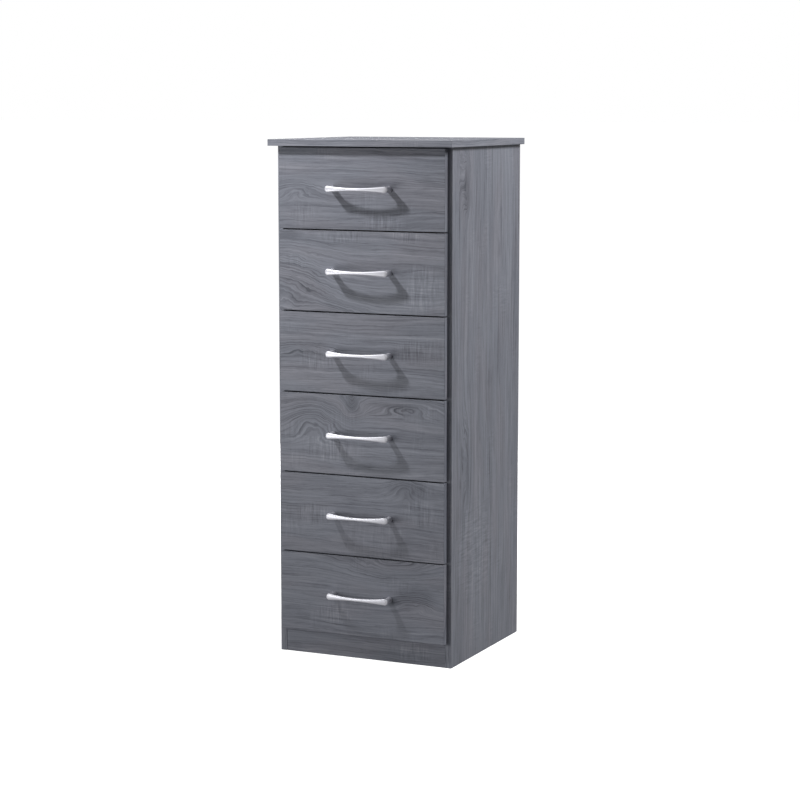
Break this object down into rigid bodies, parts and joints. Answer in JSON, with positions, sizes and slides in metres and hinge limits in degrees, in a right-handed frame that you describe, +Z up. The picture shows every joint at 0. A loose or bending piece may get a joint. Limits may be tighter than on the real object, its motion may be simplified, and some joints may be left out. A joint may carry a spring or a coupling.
{
  "type": "tall chest of drawers",
  "caption": "Tall, narrow chest of drawers in grey oak laminate, on a plinth, with overlay fronts, an overhanging top and bow handles. The drawers slide out.",
  "frame": {"origin": "on the floor, under the middle of the whole object's box", "axes": "+Z up, -Y out of the drawer fronts, +X to the right of someone facing the fronts"},
  "size_m": [0.458, 0.452, 1.194],
  "materials": {
    "grey_oak": "grey oak laminate with saw marks, satin",
    "drawer_board": "pale grey melamine board, satin",
    "hardboard": "brown hardboard, smooth face",
    "satin_metal": "satin",
    "zinc_steel": "bright zinc plate",
    "runner_plastic": "moulded, slightly waxy",
    "beech": "fluted beech, unfinished"
  },
  "bodies": {
    "carcass": {"left_side_panel": "grey_oak", "right_side_panel": "grey_oak", "top_panel": "grey_oak", "bottom_panel": "grey_oak", "plinth": "grey_oak", "top_front_rail": "grey_oak", "top_back_rail": "grey_oak", "back_panel": "hardboard", "runners": "runner_plastic", "runner_screws": "zinc_steel", "cam_fittings": "zinc_steel", "dowels": "beech"},
    "drawer_1": {"drawer_1_front": "grey_oak", "drawer_1_left_side": "drawer_board", "drawer_1_right_side": "drawer_board", "drawer_1_back": "drawer_board", "drawer_1_bottom": "hardboard", "drawer_1_handle": "satin_metal", "drawer_1_handle_screws": "zinc_steel", "drawer_1_box_fittings": "zinc_steel"},
    "drawer_2": {"drawer_2_front": "grey_oak", "drawer_2_left_side": "drawer_board", "drawer_2_right_side": "drawer_board", "drawer_2_back": "drawer_board", "drawer_2_bottom": "hardboard", "drawer_2_handle": "satin_metal", "drawer_2_handle_screws": "zinc_steel", "drawer_2_box_fittings": "zinc_steel"},
    "drawer_3": {"drawer_3_front": "grey_oak", "drawer_3_left_side": "drawer_board", "drawer_3_right_side": "drawer_board", "drawer_3_back": "drawer_board", "drawer_3_bottom": "hardboard", "drawer_3_handle": "satin_metal", "drawer_3_handle_screws": "zinc_steel", "drawer_3_box_fittings": "zinc_steel"},
    "drawer_4": {"drawer_4_front": "grey_oak", "drawer_4_left_side": "drawer_board", "drawer_4_right_side": "drawer_board", "drawer_4_back": "drawer_board", "drawer_4_bottom": "hardboard", "drawer_4_handle": "satin_metal", "drawer_4_handle_screws": "zinc_steel", "drawer_4_box_fittings": "zinc_steel"},
    "drawer_5": {"drawer_5_front": "grey_oak", "drawer_5_left_side": "drawer_board", "drawer_5_right_side": "drawer_board", "drawer_5_back": "drawer_board", "drawer_5_bottom": "hardboard", "drawer_5_handle": "satin_metal", "drawer_5_handle_screws": "zinc_steel", "drawer_5_box_fittings": "zinc_steel"},
    "drawer_6": {"drawer_6_front": "grey_oak", "drawer_6_left_side": "drawer_board", "drawer_6_right_side": "drawer_board", "drawer_6_back": "drawer_board", "drawer_6_bottom": "hardboard", "drawer_6_handle": "satin_metal", "drawer_6_handle_screws": "zinc_steel", "drawer_6_box_fittings": "zinc_steel"}
  },
  "joints": [
    {"name": "drawer_1_slide", "type": "slide", "parent": "carcass", "child": "drawer_1", "axis": [0, -1, 0], "range_m": [0, 0.26]},
    {"name": "drawer_2_slide", "type": "slide", "parent": "carcass", "child": "drawer_2", "axis": [0, -1, 0], "range_m": [0, 0.26]},
    {"name": "drawer_3_slide", "type": "slide", "parent": "carcass", "child": "drawer_3", "axis": [0, -1, 0], "range_m": [0, 0.26]},
    {"name": "drawer_4_slide", "type": "slide", "parent": "carcass", "child": "drawer_4", "axis": [0, -1, 0], "range_m": [0, 0.26]},
    {"name": "drawer_5_slide", "type": "slide", "parent": "carcass", "child": "drawer_5", "axis": [0, -1, 0], "range_m": [0, 0.26]},
    {"name": "drawer_6_slide", "type": "slide", "parent": "carcass", "child": "drawer_6", "axis": [0, -1, 0], "range_m": [0, 0.26]}
  ]
}
